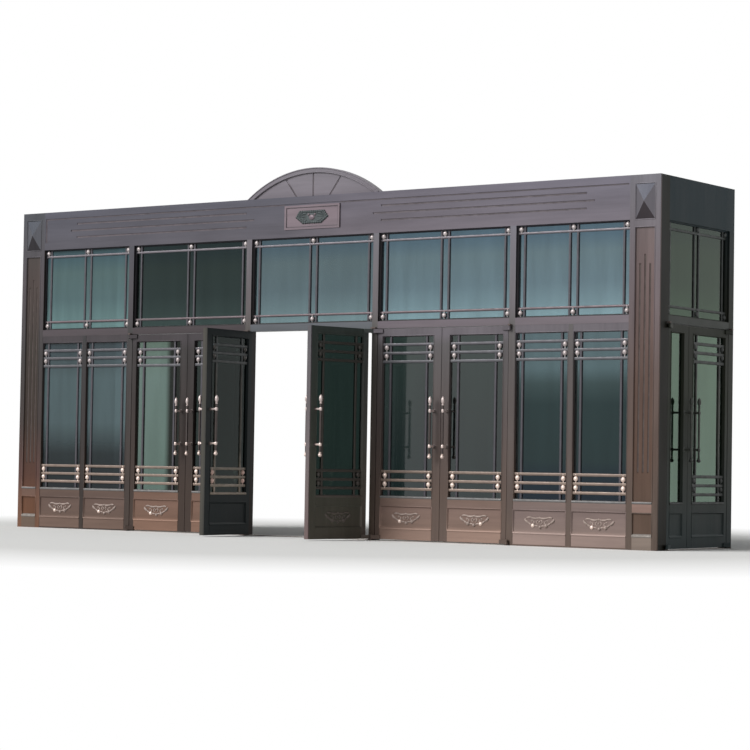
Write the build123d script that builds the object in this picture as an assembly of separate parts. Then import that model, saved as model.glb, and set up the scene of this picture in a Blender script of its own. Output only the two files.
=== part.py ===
"""Projecting stainless steel entrance: five glazed bays between corner pilasters, with returns to the wall.

Millimetres, +Z up. The front faces -Y. The origin is on the floor, under the middle of the centre
threshold and halfway through the thickness of the front frame.
"""
from build123d import *
import os
from math import cos, sin, sqrt, tau

# Front elevation, from the left: pilaster, end bay, mullion, door bay, mullion, door bay, and so on
pilaster_width = 335
end_bay_width = 1289
door_bay_width = 1604
mullion_width = 70
end_post_width = 50

# Heights of the fixed frame
door_head = 2180
transom_rail_height = 74
transom_light_height = 916
entablature_height = 430

# Depths
frame_depth = 100
pilaster_depth = 180
side_opening = 1245
rear_post_depth = 100

# Door leaves
leaf_thickness = 55
leaf_setback = 2
hinge_stile = 60
lock_stile = 95
leaf_top_rail = 75
leaf_bottom_rail = 117
kick_rail = 101
kick_height = 440
kick_recess = 12
side_main_leaf = 820
threshold_height = 6
floor_gap = 8
head_gap = 6
jamb_gap = 6
meeting_gap = 6
panel_bevel = 8

# Offset pivots: the axis lies past the jamb and in front of the face
pivot_overlap = 20
pivot_standoff = 22
pivot_barrel = 12
pivot_arm_reach = 70
pivot_arm_height = 40
pivot_plate = 28
floor_plate = 8
head_plate = 12
pin_radius = 8
pin_play = 0.3
pin_sides = 12

# Angles at which the leaves stand in the rest pose
centre_left_angle = 87.4
centre_right_angle = 78.6

# Glass and its lattice
glass_thickness = 8
lattice_bar = 16
lattice_depth = 10
lattice_margin = 95
low_bar_pitch = 88
low_bar_first = 84
high_bar_pitch = 88
high_bar_first = 84
lattice_rows = 3
fixed_stile = 8
fixed_margin = 76
transom_side_margin = 80
transom_high_margin = 78
transom_low_margin = 91
transom_pair_spacing = 90

# Pull handles
handle_height = 1149
handle_standoff = 80
handle_inset = 76
handle_radius = 11
handle_leg_radius = 9
handle_leg_spacing = 358
handle_leg_sides = 6
handle_below_legs = 125
handle_above_legs = 147
handle_ball_radius = 20
handle_bulb_radius = 20
handle_bulb_length = 80
handle_sides = 8

# Pilaster panels
pilaster_stile = 60
panel_recess = 12
capital_border = 85
capital_rise = 42
flute_field_low = 462
flute_field_drop = 75
flute_width = 20
flute_depth = 8
flute_spacing = 55
flute_low = 738
flute_side_drop = 349
flute_middle_drop = 260
base_panel_low = 142
base_panel_high = 352

# Entablature
frieze_recess = 6
frieze_border_low = 80
frieze_border_high = 75
frieze_end_border = 12
groove_width = 20
groove_depth = 8
groove_pitch = 76
groove_rise = 128
groove_middle_inset = 398
groove_outer_inset = 487
groove_middle_start = 785
groove_outer_start = 888
plaque_width = 725
plaque_drop = 19
plaque_border = 22
plaque_thickness = 14
pediment_chord = 1750
pediment_rise = 299
pediment_depth = 70
pediment_rim = 55
pediment_field_recess = 12
pediment_groove_width = 18
pediment_groove_tilt = 37
pediment_groove_foot = 218
roof_thickness = 40
roof_drop = 60

# Worked out from the sizes above
transom_low = door_head + transom_rail_height
transom_high = transom_low + transom_light_height
top = transom_high + entablature_height
door_pitch = door_bay_width + mullion_width
half_width = 1.5 * door_bay_width + 2 * mullion_width + end_bay_width + pilaster_width
inner_half = half_width - pilaster_width
front = -frame_depth / 2
back = frame_depth / 2
side_front_jamb = front + pilaster_depth
side_rear_jamb = side_front_jamb + side_opening
rear = side_rear_jamb + rear_post_depth
leaf_foot = threshold_height + floor_gap
leaf_height = door_head - head_gap - leaf_foot
front_leaf = (door_bay_width - 2 * jamb_gap - meeting_gap) / 2
side_narrow_leaf = side_opening - 2 * jamb_gap - meeting_gap - side_main_leaf
leaf_face = front + leaf_setback
axis_from_heel = jamb_gap + pivot_overlap
axis_from_leaf = leaf_setback + pivot_standoff
mullion_centres = [-1.5 * door_pitch, -0.5 * door_pitch, 0.5 * door_pitch, 1.5 * door_pitch]
end_bay_centre = 1.5 * door_bay_width + 2 * mullion_width + end_bay_width / 2
flute_field_high = transom_high - flute_field_drop
frieze_low = transom_high + frieze_border_low
frieze_high = top - frieze_border_high


def block(x0, x1, y0, y1, z0, z1):
    """A plain box between two corners."""
    return Pos((x0 + x1) / 2, (y0 + y1) / 2, (z0 + z1) / 2) * Box(x1 - x0, y1 - y0, z1 - z0)


def both_sides(shape):
    """The shape and its mirror image across the middle of the entrance."""
    return [shape, mirror(shape, about=Plane.YZ)]


def sunk_panel(x0, x1, z0, z1, y, depth):
    """Cutter for a panel with bevelled edges, this deep behind y. A negative depth sinks it from the back."""
    face = Plane(origin=((x0 + x1) / 2, y, (z0 + z1) / 2), x_dir=(1, 0, 0), z_dir=(0, -1, 0))
    rim = face * Rectangle(x1 - x0, z1 - z0)
    floor = face.offset(-depth) * Rectangle(x1 - x0 - 2 * panel_bevel, z1 - z0 - 2 * panel_bevel)
    return loft([rim, floor], ruled=True)


def groove(width, depth, length):
    """Upright half-round cutter for a groove of this width and depth in a face at y = 0."""
    radius = (width ** 2 / 4 + depth ** 2) / (2 * depth)
    return Pos(0, depth - radius, 0) * Cylinder(radius, length)


def turned(profile, sides):
    """Upright turned piece with flat facets, through pairs of height and radius."""
    corners = [(cos(k * tau / sides), sin(k * tau / sides)) for k in range(sides)]
    rings = [[(radius * c, radius * s, z) for c, s in corners] for z, radius in profile]
    outlines = [rings[0], rings[-1]]
    for low, high in zip(rings, rings[1:]):
        outlines += [(low[k - 1], low[k], high[k], high[k - 1]) for k in range(sides)]
    return Part() + Solid(Shell([Face(Wire.make_polygon(outline)) for outline in outlines]))


def save(name, shapes):
    """Write one sub-part, with all of its solids."""
    solids = []
    for shape in shapes:
        solids += list(shape.solids())
    export_step(Compound(children=solids), f"parts/{name}.step")


# Corner pilasters, with panelled shaft, capital and base
def pilaster():
    """The right-hand pilaster."""
    x0 = half_width - pilaster_width
    x1 = half_width
    field0 = x0 + pilaster_stile
    field1 = x1 - pilaster_stile
    middle = (field0 + field1) / 2
    floor = front + panel_recess
    body = block(x0, x1, front, front + pilaster_depth, 0, top)
    body -= sunk_panel(field0, field1, flute_field_low, flute_field_high, front, panel_recess)
    body -= sunk_panel(field0, field1, base_panel_low, base_panel_high, front, panel_recess)
    body -= block(field0, field1, front, floor, transom_high, top - capital_border)
    for place, drop in ((-1, flute_side_drop), (0, flute_middle_drop), (1, flute_side_drop)):
        high = flute_field_high - drop
        flute = groove(flute_width, flute_depth, high - flute_low)
        body -= Pos(middle + place * flute_spacing, floor, (flute_low + high) / 2) * flute
    return body + capital_pyramid(field0, field1, floor)


def capital_pyramid(x0, x1, y):
    """A low four-sided pyramid that rises from the floor of the capital's panel."""
    height = entablature_height - capital_border
    centre = Plane(origin=((x0 + x1) / 2, y, transom_high + height / 2), x_dir=(1, 0, 0), z_dir=(0, -1, 0))
    base = centre * Rectangle(x1 - x0, height)
    tip = centre.offset(capital_rise) * Rectangle(1, 1)
    return loft([base, tip])


# Entablature: frieze with its plaque, and the curved pediment on it
def frieze():
    body = block(-inner_half, inner_half, front, back, transom_high, top)
    floor = front + frieze_recess
    panel = block(plaque_width / 2, inner_half - frieze_end_border, front, floor, frieze_low, frieze_high)
    for row in (-1, 0, 1):
        z = frieze_low + groove_rise + row * groove_pitch
        start = groove_middle_start if row == 0 else groove_outer_start
        inset = groove_middle_inset if row == 0 else groove_outer_inset
        end = inner_half - inset
        trough = Rot(0, 90, 0) * groove(groove_width, groove_depth, end - start)
        panel += Pos((start + end) / 2, floor, z) * trough
    for cut in both_sides(panel):
        body -= cut
    middle = block(-plaque_width / 2, plaque_width / 2, front, floor, frieze_low, frieze_high)
    return body - middle


def plaque():
    """The framed plate in the middle of the frieze."""
    floor = front + frieze_recess
    half = plaque_width / 2
    high = frieze_high - plaque_drop
    plate = block(-half, half, floor - plaque_thickness, floor, frieze_low, high)
    face = floor - plaque_thickness
    inner = block(-half + plaque_border, half - plaque_border, face, face + plaque_thickness / 2,
                  frieze_low + plaque_border, high - plaque_border)
    return plate - inner


def pediment_outline(inset):
    """Circle segment on top of the frieze, drawn this far inside the outer curve."""
    half = pediment_chord / 2
    radius = (half ** 2 + pediment_rise ** 2) / (2 * pediment_rise)
    centre = top + pediment_rise - radius
    radius -= inset
    half = sqrt(radius ** 2 - (top - centre) ** 2)
    crown = centre + radius
    face = Plane(origin=(0, front, 0), x_dir=(1, 0, 0), z_dir=(0, -1, 0))
    with BuildSketch(face) as sketch:
        with BuildLine():
            ThreePointArc((-half, top), (0, crown), (half, top))
            Line((half, top), (-half, top))
        make_face()
    return sketch.sketch


def pediment():
    body = extrude(pediment_outline(0), -pediment_depth)
    body -= extrude(pediment_outline(pediment_rim), -pediment_field_recess)
    floor = front + pediment_field_recess
    length = 2 * pediment_rise
    field = extrude(pediment_outline(pediment_rim), -2 * pediment_field_recess)
    for place in (-1, 0, 1):
        slot = Pos(0, 0, length / 2) * groove(pediment_groove_width, groove_depth, length)
        slot = Rot(0, place * pediment_groove_tilt, 0) * slot
        body -= (Pos(place * pediment_groove_foot, floor, top) * slot) & field
    return body


# Fixed frame of the front
def mullions():
    half = mullion_width / 2
    return [block(x - half, x + half, front, back, 0, transom_high) for x in mullion_centres]


def bay_spans():
    """Left and right edge of each front bay."""
    door = [(x - door_bay_width / 2, x + door_bay_width / 2) for x in (-door_pitch, 0, door_pitch)]
    end = (end_bay_centre - end_bay_width / 2, end_bay_centre + end_bay_width / 2)
    return [(-end[1], -end[0])] + door + [end]


def end_posts():
    half = end_post_width / 2
    post = block(end_bay_centre - half, end_bay_centre + half, front, back, 0, door_head)
    return both_sides(post)


def transom_rails():
    rails = [block(x0, x1, front, back, door_head, transom_low) for x0, x1 in bay_spans()]
    side = block(half_width - frame_depth, half_width, side_front_jamb, side_rear_jamb,
                 door_head, transom_low)
    return rails + both_sides(side)


def thresholds():
    sills = [block(x0, x1, front, back, 0, threshold_height) for x0, x1 in bay_spans()[1:4]]
    side = block(half_width - frame_depth, half_width, side_front_jamb, side_rear_jamb,
                 0, threshold_height)
    return sills + both_sides(side)


# Lights over the transom rail
def transom_grid(width):
    """Flat lattice of one transom light, standing on the XZ plane with its middle at x = 0."""
    half = width / 2
    bar = lattice_bar / 2
    height = transom_light_height
    pair = transom_pair_spacing / 2
    uprights = [-half + transom_side_margin, -pair, pair, half - transom_side_margin]
    grid = block(-half, half, 0, lattice_depth, transom_low_margin - bar, transom_low_margin + bar)
    z = height - transom_high_margin
    grid += block(-half, half, 0, lattice_depth, z - bar, z + bar)
    for x in uprights:
        grid += block(x - bar, x + bar, 0, lattice_depth, 0, height)
    return grid


def light_places():
    """Location and width of each transom light: five in front and one on each side."""
    places = [(Pos((x0 + x1) / 2, 0, transom_low), x1 - x0) for x0, x1 in bay_spans()]
    y = (side_front_jamb + side_rear_jamb) / 2
    for side in (-1, 1):
        x = side * (half_width - frame_depth / 2)
        places.append((Pos(x, y, transom_low) * Rot(0, 0, 90 * side), side_opening))
    return places


def transom_bars():
    y = -glass_thickness / 2 - lattice_depth
    return [place * Pos(0, y, 0) * transom_grid(width) for place, width in light_places()]


def transom_glass():
    half = glass_thickness / 2
    return [place * block(-width / 2, width / 2, -half, half, 0, transom_light_height)
            for place, width in light_places()]


# Glazed panels and leaves. Each is drawn with its left edge at x = 0, its outer face at y = 0
# and its foot at z = 0
def panel_frame(width, height, left_stile, right_stile, margin, foot=0):
    """Frame with kick panel, glazed above. The lattice in front of the glass is welded to the frame."""
    x0 = left_stile
    x1 = width - right_stile
    z0 = kick_height + foot
    z1 = height - leaf_top_rail
    body = block(0, width, 0, leaf_thickness, 0, height)
    body -= block(x0, x1, 0, leaf_thickness, z0, z1)
    for y, depth in ((0, kick_recess), (leaf_thickness, -kick_recess)):
        body -= sunk_panel(x0, x1, foot + leaf_bottom_rail, z0 - kick_rail, y, depth)
    if margin:
        body += panel_lattice(x0, x1, z0, z1, margin)
    return body


def panel_lattice(x0, x1, z0, z1, margin):
    """Three rails above the kick panel and three under the top rail, with an upright near each stile."""
    bar = lattice_bar / 2
    levels = [z0 + low_bar_first + row * low_bar_pitch for row in range(lattice_rows)]
    levels += [z1 - high_bar_first - row * high_bar_pitch for row in range(lattice_rows)]
    glass = (leaf_thickness - glass_thickness) / 2
    bars = [block(x0, x1, glass - lattice_depth, glass, z - bar, z + bar) for z in levels]
    bars += [block(x - bar, x + bar, glass - lattice_depth, glass, z0, z1) for x in (x0 + margin, x1 - margin)]
    return bars


def panel_glass(width, height, left_stile, right_stile, foot=0):
    y = (leaf_thickness - glass_thickness) / 2
    return block(left_stile, width - right_stile, y, y + glass_thickness,
                 kick_height + foot, height - leaf_top_rail)


def leaf_frame(width, margin):
    """Door leaf hinged at its left edge, with the two arms that carry it on its pivots."""
    body = panel_frame(width, leaf_height, hinge_stile, lock_stile, margin)
    arm = pivot_arm()
    return body + arm + Pos(0, 0, leaf_height - pivot_arm_height) * arm


def pivot_arm():
    """Tapered arm from the hinge stile's face to the barrel round the axis."""
    near = pivot_barrel - axis_from_leaf
    far = -pivot_barrel - axis_from_leaf
    outline = Polygon((-axis_from_heel, far), (pivot_arm_reach, near), (pivot_arm_reach, leaf_setback),
                      (0, leaf_setback), (0, near), (-axis_from_heel, near), align=None)
    barrel = Pos(-axis_from_heel, -axis_from_leaf, 0) * RegularPolygon(pivot_barrel, pin_sides)
    return extrude(outline, pivot_arm_height) + extrude(barrel, pivot_arm_height)


def handle():
    """Pull handle on the outer face: turned bar on two legs, with a ball at its foot and a bulb at its head."""
    low_leg = handle_height - handle_leg_spacing / 2 - leaf_foot
    high_leg = handle_height + handle_leg_spacing / 2 - leaf_foot
    low = low_leg - handle_below_legs
    high = high_leg + handle_above_legs
    ball = handle_ball_radius
    bulb = high - handle_bulb_length
    profile = [(low, ball / 2), (low + ball, ball), (low + 2 * ball, ball / 2), (low + 2.5 * ball, handle_radius),
               (bulb, handle_radius), (bulb + handle_bulb_length / 2, handle_bulb_radius),
               (high, handle_bulb_radius / 2)]
    shape = turned(profile, handle_sides)
    leg = extrude(RegularPolygon(handle_leg_radius, handle_leg_sides), handle_standoff)
    for z in (low_leg, high_leg):
        shape += Pos(0, 0, z) * Rot(-90, 0, 0) * leg
    return Pos(0, -handle_standoff, 0) * shape


def handle_pair(width):
    outer = Pos(width - handle_inset, 0, 0) * handle()
    inner = Pos(width - handle_inset, leaf_thickness, 0) * mirror(handle(), about=Plane.XZ)
    return [outer, inner]


def leaves():
    """Name, pivot position, turn of the closed leaf, hand, width, lattice margin and rest angle."""
    rows = []
    for bay, centre in (("left", -door_pitch), ("centre", 0), ("right", door_pitch)):
        for hand, side in (("left", -1), ("right", 1)):
            x = centre + side * (door_bay_width / 2 + pivot_overlap)
            opened = 0
            if bay == "centre":
                opened = centre_left_angle if side < 0 else centre_right_angle
            rows.append((f"{bay}_bay_{hand}_leaf", x, front - pivot_standoff, 0, side, front_leaf,
                         lattice_margin, opened))
    for wall, side in (("left_side", -1), ("right_side", 1)):
        x = side * (half_width + pivot_standoff)
        y_front = side_front_jamb - pivot_overlap
        y_rear = side_rear_jamb + pivot_overlap
        turn = 90 * side
        rows.append((f"{wall}_narrow_leaf", x, y_front, turn, -side, side_narrow_leaf, 0, 0))
        rows.append((f"{wall}_main_leaf", x, y_rear, turn, side, side_main_leaf, lattice_margin, 0))
    return rows


def hang(shape, x, y, turn, side, opened):
    """Put a leaf's piece on its pivot. Side -1 keeps the hand it was drawn in, and 1 mirrors it."""
    shape = Pos(axis_from_heel, axis_from_leaf, 0) * shape
    if side > 0:
        shape = mirror(shape, about=Plane.YZ)
    return Pos(x, y, leaf_foot) * Rot(0, 0, turn + side * opened) * shape


def pivots():
    """Floor and head brackets with the pins on which the leaves turn."""
    half = pivot_plate / 2
    pin = RegularPolygon(pin_radius, pin_sides)
    leaf_top = leaf_foot + leaf_height
    foot = block(-half, half, -half, pivot_standoff, 0, floor_plate)
    foot += extrude(pin, leaf_foot - pin_play)
    head = block(-half, half, -half, pivot_standoff, door_head, door_head + head_plate)
    head += Pos(0, 0, leaf_top + pin_play) * extrude(pin, door_head - leaf_top)
    brackets = []
    for row in leaves():
        x, y, turn = row[1], row[2], row[3]
        place = Pos(x, y, 0) * Rot(0, 0, turn)
        brackets += [place * foot, place * head]
    return brackets


def fixed_panel_places():
    """Left edge of each fixed panel of the end bays."""
    half = end_post_width / 2
    lefts = []
    for centre in (-end_bay_centre, end_bay_centre):
        lefts += [centre - end_bay_width / 2, centre + half]
    return lefts


# Returns and roof
def rear_posts():
    post = block(half_width - frame_depth, half_width, side_rear_jamb, rear, 0, top)
    return both_sides(post)


def side_fascias():
    fascia = block(half_width - frame_depth, half_width, side_front_jamb, side_rear_jamb, transom_high, top)
    return both_sides(fascia)


def roof(corner_pieces):
    x = half_width - frame_depth
    sheet = block(-x, x, back, rear, top - roof_drop - roof_thickness, top - roof_drop)
    for piece in corner_pieces:
        sheet -= piece
    return sheet


os.makedirs("parts", exist_ok=True)

right_pilaster, left_pilaster = both_sides(pilaster())
save("pilaster_right", [right_pilaster])
save("pilaster_left", [left_pilaster])
save("mullions", mullions())
save("end_bay_posts", end_posts())
save("transom_rails", transom_rails())
save("thresholds", thresholds())
save("pivot_pins", pivots())
save("frieze", [frieze()])
save("frieze_plaque", [plaque()])
save("pediment", [pediment()])
save("transom_bars", transom_bars())
save("transom_glass", transom_glass())
save("rear_posts", rear_posts())
save("side_fascias", side_fascias())
save("roof", [roof([right_pilaster, left_pilaster])])

fixed_width = (end_bay_width - end_post_width) / 2
fixed_frame = panel_frame(fixed_width, door_head, fixed_stile, fixed_stile, fixed_margin, leaf_foot)
fixed_glass = panel_glass(fixed_width, door_head, fixed_stile, fixed_stile, leaf_foot)
save("fixed_panels", [Pos(x, leaf_face, 0) * fixed_frame for x in fixed_panel_places()])
save("fixed_panel_glass", [Pos(x, leaf_face, 0) * fixed_glass for x in fixed_panel_places()])

for name, x, y, turn, side, width, margin, opened in leaves():
    save(name, [hang(leaf_frame(width, margin), x, y, turn, side, opened)])
    glass = panel_glass(width, leaf_height, hinge_stile, lock_stile)
    save(name + "_glass", [hang(glass, x, y, turn, side, opened)])
    save(name + "_handles", [hang(piece, x, y, turn, side, opened) for piece in handle_pair(width)])
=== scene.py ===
import math
import bpy
from mathutils import Matrix, Vector


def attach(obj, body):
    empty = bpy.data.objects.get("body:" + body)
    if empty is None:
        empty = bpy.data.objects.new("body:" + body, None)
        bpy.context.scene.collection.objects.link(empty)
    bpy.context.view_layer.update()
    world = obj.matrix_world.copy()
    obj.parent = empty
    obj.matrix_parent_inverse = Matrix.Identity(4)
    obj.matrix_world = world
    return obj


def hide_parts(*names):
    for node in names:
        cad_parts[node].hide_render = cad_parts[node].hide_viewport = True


# Projecting stainless steel entrance, dressed over its CAD frame. Sizes are in millimetres, +Z up, and the
# front faces -Y. Pieces are drawn in millimetres and made in metres.
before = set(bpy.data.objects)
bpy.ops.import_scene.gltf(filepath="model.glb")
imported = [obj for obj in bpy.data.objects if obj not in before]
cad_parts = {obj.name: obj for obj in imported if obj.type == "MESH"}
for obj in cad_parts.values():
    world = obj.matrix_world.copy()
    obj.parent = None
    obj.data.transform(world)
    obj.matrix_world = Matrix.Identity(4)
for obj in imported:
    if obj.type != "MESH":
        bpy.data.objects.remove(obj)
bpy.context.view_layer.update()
scene = bpy.context.scene
scene.view_settings.view_transform = "Standard"
MM = 0.001

# Driving sizes, as in the part
pilaster_width, end_bay, door_bay, mullion, end_post = 335, 1289, 1604, 70, 50
door_head, transom_rail, transom_light, entablature = 2180, 74, 916, 430
frame_depth, pilaster_depth, side_opening, rear_post_depth = 100, 180, 1245, 100
leaf_thickness, leaf_setback, threshold_height, floor_gap, head_gap = 55, 2, 6, 8, 6
jamb_gap, meeting_gap, pivot_overlap, pivot_standoff = 6, 6, 20, 22
hinge_stile, lock_stile, top_rail, bottom_rail = 60, 95, 75, 117
kick_rail, kick_height, kick_recess, fixed_stile, side_main_leaf = 101, 440, 12, 8, 820
centre_left_angle, centre_right_angle = 87.4, 78.6
glass_thickness, lattice_margin, fixed_margin, bar_pitch, bar_first, bar_rows = 8, 95, 76, 88, 84, 3
transom_side_margin, transom_high_margin, transom_low_margin, transom_pair = 80, 78, 91, 90
handle_height, handle_standoff, handle_inset, leg_spacing = 1149, 80, 76, 358
handle_below, handle_above = 125, 147
pilaster_stile, panel_recess, capital_border = 60, 12, 85
flute_field_low, flute_field_drop, flute_spacing, flute_low = 462, 75, 55, 738
flute_side_drop, flute_middle_drop, base_panel_low, base_panel_high = 349, 260, 142, 352
frieze_recess, frieze_border_low, frieze_border_high, frieze_end_border = 6, 80, 75, 12
groove_pitch, groove_rise, groove_middle_start, groove_outer_start = 76, 128, 785, 888
groove_middle_inset, groove_outer_inset = 398, 487
plaque_thickness, pediment_chord, pediment_rise = 14, 1750, 299
pediment_groove_tilt, pediment_groove_foot = 37, 218

# Places that follow from them
door_pitch = door_bay + mullion
half_width = 1.5 * door_bay + 2 * mullion + end_bay + pilaster_width
inner_half = half_width - pilaster_width
end_centre = 1.5 * door_bay + 2 * mullion + end_bay / 2
front, back = -frame_depth / 2, frame_depth / 2
pilaster_back = front + pilaster_depth
side_rear = pilaster_back + side_opening
rear = side_rear + rear_post_depth
transom_low = door_head + transom_rail
transom_high = transom_low + transom_light
top = transom_high + entablature
frieze_low, frieze_high = transom_high + frieze_border_low, top - frieze_border_high
flute_field_high = transom_high - flute_field_drop
leaf_face = front + leaf_setback
leaf_foot = threshold_height + floor_gap
leaf_height = door_head - head_gap - leaf_foot
front_leaf = (door_bay - 2 * jamb_gap - meeting_gap) / 2
side_narrow_leaf = side_opening - 2 * jamb_gap - meeting_gap - side_main_leaf
axis_from_heel = jamb_gap + pivot_overlap
axis_from_leaf = leaf_setback + pivot_standoff
glass_outer = (leaf_thickness - glass_thickness) / 2


# Mesh work
def ring(radius, steps, squash=1.0):
    """Circle points, flattened across Y by squash."""
    return [(radius * math.cos(k * math.tau / steps), squash * radius * math.sin(k * math.tau / steps))
            for k in range(steps)]


class Shape:
    """Faces of one piece, in millimetres, each with the number of its finish."""

    def __init__(self):
        self.points, self.faces, self.finishes = [], [], []

    def skin(self, rings, caps=True, loop=False, finish=0):
        """Quads from ring to ring. Caps close the two ends, and loop joins the last ring to the first."""
        size, base = len(rings[0]), len(self.points)
        for line in rings:
            self.points += [Vector(p) for p in line]
        count = len(rings)
        faces = []
        for r in range(count if loop else count - 1):
            a, b = base + r * size, base + (r + 1) % count * size
            faces += [(a + k, a + (k + 1) % size, b + (k + 1) % size, b + k) for k in range(size)]
        if caps and not loop:
            faces.append(tuple(base + k for k in reversed(range(size))))
            faces.append(tuple(base + (count - 1) * size + k for k in range(size)))
        self.faces += faces
        self.finishes += [finish] * len(faces)

    def put(self, other, place=Matrix.Identity(4)):
        """Take in another shape at a place."""
        base = len(self.points)
        self.points += [place @ p for p in other.points]
        turned = place.determinant() < 0
        for face in other.faces:
            face = [base + k for k in face]
            self.faces.append(tuple(reversed(face)) if turned else tuple(face))
        self.finishes += other.finishes

    def lathe(self, profile, steps=20, squash=1.0, finish=0):
        """Turned piece about Z through pairs of height and radius."""
        self.skin([[(x, y, z) for x, y in ring(r, steps, squash)] for z, r in profile], finish=finish)

    def bar(self, start, end, section, out, finish=0):
        """Straight bar. The section's points are (across, outwards)."""
        start, end, out = Vector(start), Vector(end), Vector(out)
        across = out.cross(end - start).normalized()
        self.skin([[p + across * u + out * v for u, v in section] for p in (start, end)], finish=finish)

    def moulding(self, x0, x1, z0, z1, profile, finish=0):
        """Mitred frame round a rectangle. The profile's points are (in from the edge, Y)."""
        rings = []
        for inset, y in profile:
            a, b, c, d = x0 + inset, x1 - inset, z0 + inset, z1 - inset
            rings.append([(a, y, c), (b, y, c), (b, y, d), (a, y, d)])
        self.skin(rings, loop=True, finish=finish)

    def relief(self, path, widths, heights, y, steps=6, finish=0):
        """Tapered half-round strip along a path of (x, z), raised towards -Y."""
        rings = []
        for k, (x, z) in enumerate(path):
            ahead, behind = path[min(k + 1, len(path) - 1)], path[max(k - 1, 0)]
            along = Vector((ahead[0] - behind[0], 0, ahead[1] - behind[1])).normalized()
            across = Vector((along.z, 0, -along.x))
            line = []
            for s in range(steps + 1):
                t = math.pi * s / steps
                line.append(Vector((x, y - heights[k] * math.sin(t), z)) + across * widths[k] * math.cos(t))
            rings.append(line)
        self.skin(rings, finish=finish)


def made(name, shape, materials, body, place=Matrix.Identity(4), smooth=40):
    """Make a piece of a shape, give it its finish and let it ride on a body."""
    whole = Shape()
    whole.put(shape, Matrix.Scale(MM, 4) @ place)
    mesh = bpy.data.meshes.new(name)
    mesh.from_pydata(whole.points, [], whole.faces)
    for material in materials:
        mesh.materials.append(material)
    mesh.polygons.foreach_set("material_index", whole.finishes)
    mesh.polygons.foreach_set("use_smooth", [True] * len(mesh.polygons))
    mesh.set_sharp_from_angle(angle=math.radians(smooth))
    mesh.validate()
    piece = bpy.data.objects.new(name, mesh)
    scene.collection.objects.link(piece)
    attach(piece, body)
    return piece


# Materials. Tints are fitted to the photograph by place, so they also hold some of its shade
def linear(hex_colour):
    """sRGB hex to linear RGBA."""
    channels = [int(hex_colour[k:k + 2], 16) / 255 for k in (1, 3, 5)]
    return [c / 12.92 if c <= 0.04045 else ((c + 0.055) / 1.055) ** 2.4 for c in channels] + [1]


def connect(tree, node, inputs):
    """Fill a node's inputs: a number or colour on its own socket, or a link from a socket or from a node's
    first output."""
    for name, value in inputs.items():
        if isinstance(value, bpy.types.Node):
            value = value.outputs[0]
        if isinstance(value, bpy.types.NodeSocket):
            tree.links.new(value, node.inputs[name])
        else:
            node.inputs[name].default_value = linear(value) if isinstance(value, str) else value


def add(tree, kind, inputs=None, stops=None, **settings):
    """Add a shader node with its settings and links. stops fill a colour ramp."""
    node = tree.nodes.new("ShaderNode" + kind)
    for name, value in settings.items():
        setattr(node, name, value)
    connect(tree, node, inputs or {})
    if stops:
        ramp = node.color_ramp
        while len(ramp.elements) < len(stops):
            ramp.elements.new(0.5)
        for element, (place, value) in zip(ramp.elements, stops):
            element.position = place
            element.color = linear(value) if isinstance(value, str) else (value, value, value, 1)
    return node


def blank(name):
    """A new node material, its tree, the shader that it ends in and the place on the object."""
    material = bpy.data.materials.new(name)
    material.use_nodes = True
    tree = material.node_tree
    return material, tree, tree.nodes["Principled BSDF"], add(tree, "TexCoord").outputs["Object"]


def tint(tree, metres, stops):
    """Colour that runs along one axis of the object through (metres, colour) stops."""
    low, high = stops[0][0], stops[-1][0]
    part = add(tree, "MapRange", {"Value": metres, "From Min": low, "From Max": high})
    return add(tree, "ValToRGB", {"Fac": part}, [((v - low) / (high - low), c) for v, c in stops])


def pattern(tree, place, scale, detail=3.0):
    """Uneven pattern of a worked or weathered surface, in features a metre along each axis."""
    spread = add(tree, "Mapping", {"Vector": place, "Scale": scale})
    return add(tree, "TexNoise", {"Vector": spread, "Scale": 1.0, "Detail": detail, "Roughness": 0.6})


# The part of its range that a pattern mostly keeps to
pattern_range = {"From Min": 0.3, "From Max": 0.7}


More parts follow.
